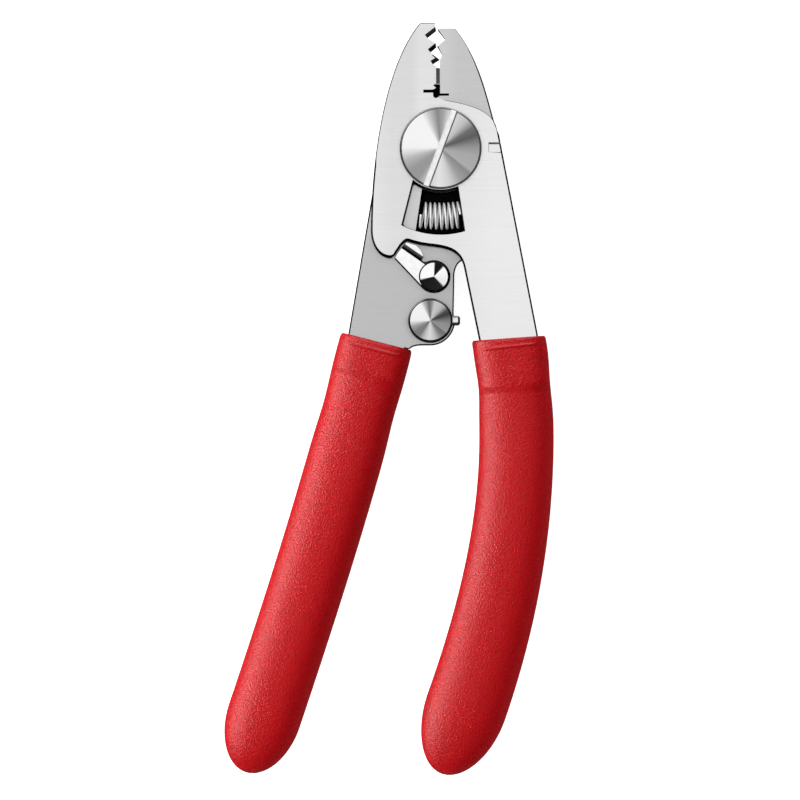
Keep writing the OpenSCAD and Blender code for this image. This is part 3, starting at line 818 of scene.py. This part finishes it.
class Tool:
    """Dresses every node of the tool."""

    def __init__(self, frame: dict[str, object], finishes: Finishes) -> None:
        self.nodes = frame["nodes"]
        self.finishes = finishes

    def build(self) -> list[bpy.types.Object]:
        """Makes every piece and returns the two grips."""
        self.plates()
        self.pivot()
        self.lock_and_stop()
        return self.grips()

    def plates(self) -> None:
        """Both steel halves, with the spring between them."""
        look = self.finishes
        front = EdgedPart(
            "front_half_steel", "front_plate", Body.FRONT, Slot.LIGHT, front_edges).build(
                self.nodes, look.front.material(), look.edge.material())
        paint(front, look.ground.material(), self.on_cutting_edge)
        paint(front, look.shaded.material(), self.on_index_wall)
        back = EdgedPart("back_half_steel", "back_plate", Body.BACK, Slot.BRUSHED,
                         back_edges).build(self.nodes, look.back.material(), look.edge.material())
        # The deep faces of the spring's hollow and the slit by the jaws get painted shade.
        paint(back, look.pocket_shade.material(), self.in_pocket)
        Spring("spring_coil", "return_spring", Body.BACK, Slot.WIRE).build(look.wire.material())

    @staticmethod
    def on_cutting_edge(at: np.ndarray, to: np.ndarray) -> np.ndarray:
        """Says which faces of the front half are the ground slopes of its notches, which get painted
        shade.
        """
        return (at[:, 1] > 14) & (at[:, 1] < 28) & (at[:, 0] > -4) & slopes(to, 0.1, 0.9)

    @staticmethod
    def on_index_wall(at: np.ndarray, to: np.ndarray) -> np.ndarray:
        """Says which faces of the front half are the sloping wall of its index recess."""
        wall = (at[:, 0] > 9) & (at[:, 1] > 0.8) & (at[:, 1] < 1.5) & (at[:, 2] > 9)
        return wall & slopes(to, 0.3, 0.95)

    @staticmethod
    def in_pocket(at: np.ndarray, _: np.ndarray) -> np.ndarray:
        """Says which faces of the back half are walls or floors of its blind pockets, the spring's
        and the slit's by the jaws; these get painted shade.
        """
        low, high = (corner.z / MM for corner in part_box("back_plate"))
        deep = (at[:, 2] < high - 0.05) & (at[:, 2] > low + 0.4)
        reach = np.hypot(at[:, 0], at[:, 1])
        spring = (reach > 7.5) & (reach < 19.7) & (np.abs(at[:, 0]) < 13) & (at[:, 1] < 0)
        slit = (np.abs(at[:, 0] + 1.1) < 3.2) & (at[:, 1] > 11) & (at[:, 1] < 14.65)
        return deep & (spring | slit)

    def pivot(self) -> None:
        """The slotted bolt, its washer and its nut."""
        look = self.finishes
        # The head's rim chamfer gets the darker slot-wall steel: painted shade.
        bolt = EdgedPart("pivot_head", "pivot_bolt", Body.BACK, Slot.TURNED,
                         rim(0.16, 8.0, Vector())).build(
            self.nodes, look.head.material(), look.slot_wall_shade.material())
        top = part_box("pivot_bolt")[1].z / MM
        paint(bolt, look.slot.material(), lambda at, to: (
            (to[:, 2] > 0.99) & (at[:, 2] > top - 1.3) & (at[:, 2] < top - 0.9)))
        # The slot's sloping wall is painted darker: painted shade.
        paint(bolt, look.slot_wall_shade.material(), lambda at, to: (
            (np.hypot(at[:, 0], at[:, 1]) < 2) & slopes(to, 0.1, 0.9)))
        for name, node, width in (("rear_washer", "pivot_washer", 0.08),
                                  ("rear_nut", "pivot_nut", 0.06)):
            EdgedPart(name, node, Body.BACK, Slot.BRUSHED, even(width)).build(
                self.nodes, look.hidden.material(), look.edge.material())

    def lock_and_stop(self) -> None:
        """The swinging lock and the closing stop."""
        look = self.finishes
        lever = EdgedPart("lock_lever_steel", "lock_lever", Body.LOCK, Slot.POLISHED,
                          lever_edges)
        washer = EdgedPart("lock_spring_washer", "lock_washer", Body.BACK, Slot.WIRE, even(0.06))
        rivet = EdgedPart("lock_rivet_head", "lock_rivet", Body.BACK, Slot.POLISHED, even(0.12))
        barrel = EdgedPart("stop_barrel_steel", "stop_barrel", Body.BACK, Slot.TURNED,
                           even(0.14, 0.5))
        screw = EdgedPart("stop_screw_steel", "stop_screw", Body.BACK, Slot.DULL, even(0.1))
        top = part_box("lock_lever")[1].z / MM
        # The flange's face that leans down the tool gets the dark edge finish: painted shade.
        paint(lever.build(self.nodes, look.lever.material(), look.edge.material()),
              look.edge.material(), lambda at, to: (
                  (at[:, 2] > top - 2.3) & (to[:, 1] < -0.3) & (np.abs(to[:, 2]) < 0.6)))
        for part, finish in ((washer, look.wire), (barrel, look.barrel), (screw, look.dull)):
            part.build(self.nodes, finish.material(), look.edge.material())
        # The rivet's sloping chamfer ring gets the dark edge finish: painted shade.
        paint(rivet.build(self.nodes, look.rivet.material(), look.edge.material()),
              look.edge.material(), lambda _, to: slopes(to, 0.3, 0.9))

    def grips(self) -> list[bpy.types.Object]:
        """Makes and returns both dipped grips."""
        plastic = self.finishes.grip.material()
        low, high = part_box("back_plate")
        left = Grip("left_grip_sleeve", "left_grip", Body.BACK, Slot.GRIP, (-14.4, -43.4),
             ((-0.097, -0.378), (-0.18, -0.63), (-0.303, -0.994)), 0.0, 0.0,
             (low.z + high.z) / 2 / MM, 8.5, 0.3).build(plastic)
        low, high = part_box("front_plate")
        right = Grip("right_grip_sleeve", "right_grip", Body.FRONT, Slot.GRIP, (15.3, -42.7),
             ((0.04, -0.245), (0.026, -0.57), (-0.157, -1.004)), 1.7, 0.09,
             (low.z + high.z) / 2 / MM, 11.5, 0.2).build(plastic)
        return [left, right]


@dataclass(frozen=True)
class Studio:
    """Floor, light and camera.

    Attributes:
        middle: the point that the camera looks straight down at.
        width: width of the view at that point.
    """

    middle: Point = (-0.009135, -0.0566, 0.008)
    width: float = 0.18
    lens_mm: float = 400.0

    def build(self, grips: list[bpy.types.Object]) -> None:
        """Makes the studio; grips are the pieces that the side light is kept to."""
        self.floor()
        self.sky()
        self.light("key", (-0.66, 0.05, 0.44), 0.34, 6.0).visible_glossy = False
        kept = bpy.data.collections.new("side_lit")
        for grip in grips:
            kept.objects.link(grip)
        for name, place, size, power in (("side", (-0.8, -0.05, 0.42), 0.7, 110.0),
                                         ("top", (0.0, 0.7, 0.55), 0.5, 60.0)):
            lamp = self.light(name, place, size, power)
            lamp.visible_diffuse = False
            lamp.light_linking.receiver_collection = kept
        self.camera()

    def floor(self) -> None:
        """A pale floor just under the tool."""
        size = 3.0
        mesh = bpy.data.meshes.new("floor")
        mesh.from_pydata([(-size, -size, -0.0001), (size, -size, -0.0001), (size, size, -0.0001),
                          (-size, size, -0.0001)], [], [(0, 1, 2, 3)])
        plane = mesh_object("floor", mesh)
        material = bpy.data.materials.new("floor_paper")
        material.use_nodes = True
        Graph(material.node_tree).surface({
            "Base Color": (0.9, 0.9, 0.9), "Roughness": 1.0, "Specular IOR Level": 0.0,
            "Emission Color": WHITE, "Emission Strength": 0.8})
        mesh.materials.append(material)
        plane.visible_glossy = False

    def sky(self) -> None:
        """Light from all round: white overhead, dark near the ground at the lower right."""
        world = bpy.data.worlds.new("studio")
        bpy.context.scene.world = world
        world.use_nodes = True
        graph = Graph(world.node_tree)
        ray = graph.node("ShaderNodeTexCoord")
        split = graph.node("ShaderNodeSeparateXYZ")
        graph.put(split.inputs[0], ray.outputs["Generated"])
        toward = graph.calc("ADD", graph.calc("MULTIPLY", split.outputs[0], -0.15),
                            split.outputs[1])
        side = graph.fit(toward, 0.2, 0.85, 0.01, 0.9)
        up = graph.fit(split.outputs[2], 0.66, 0.86)
        above = graph.calc("MULTIPLY", up, graph.calc("SUBTRACT", 1.0, side))
        tone = graph.calc("ADD", above, side)
        studio = graph.node("ShaderNodeBackground")
        graph.put(studio.inputs[0], graph.mix(tone, (0.0, 0.0, 0.0), WHITE))
        paper = graph.node("ShaderNodeBackground")
        graph.put(paper.inputs[0], WHITE)
        path = graph.node("ShaderNodeLightPath")
        join = graph.node("ShaderNodeMixShader")
        graph.put(join.inputs[0], path.outputs["Is Camera Ray"])
        graph.put(join.inputs[1], studio.outputs[0])
        graph.put(join.inputs[2], paper.outputs[0])
        out = graph.node("ShaderNodeOutputWorld")
        graph.put(out.inputs[0], join.outputs[0])

    def light(self, name: str, place: Point, size: float, power: float) -> bpy.types.Object:
        """Returns one square area light that faces the tool."""
        data = bpy.data.lights.new(name, "AREA")
        data.size = size
        data.energy = power
        lamp = bpy.data.objects.new(name, data)
        bpy.context.scene.collection.objects.link(lamp)
        lamp.location = place
        aim = np.array(self.middle) - np.array(place)
        lamp.rotation_mode = "QUATERNION"
        lamp.rotation_quaternion = Vector(aim).to_track_quat("-Z", "Y")
        return lamp

    def camera(self) -> None:
        """A long lens straight above the tool."""
        data = bpy.data.cameras.new("camera")
        data.lens = self.lens_mm
        data.sensor_width = 36.0
        data.clip_end = 20.0
        eye = bpy.data.objects.new("camera", data)
        bpy.context.scene.collection.objects.link(eye)
        x, y, z = self.middle
        eye.location = (x, y, z + self.width * self.lens_mm / 36.0)
        bpy.context.scene.camera = eye
        bpy.context.scene.view_settings.view_transform = "Standard"


def main() -> None:
    """Builds everything on the frame."""
    logging.basicConfig(level=logging.INFO)
    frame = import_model()
    Studio().build(Tool(frame, Finishes()).build())
    LOG.info("dressed %d nodes", len(frame["nodes"]))


if __name__ == "__main__":
    main()
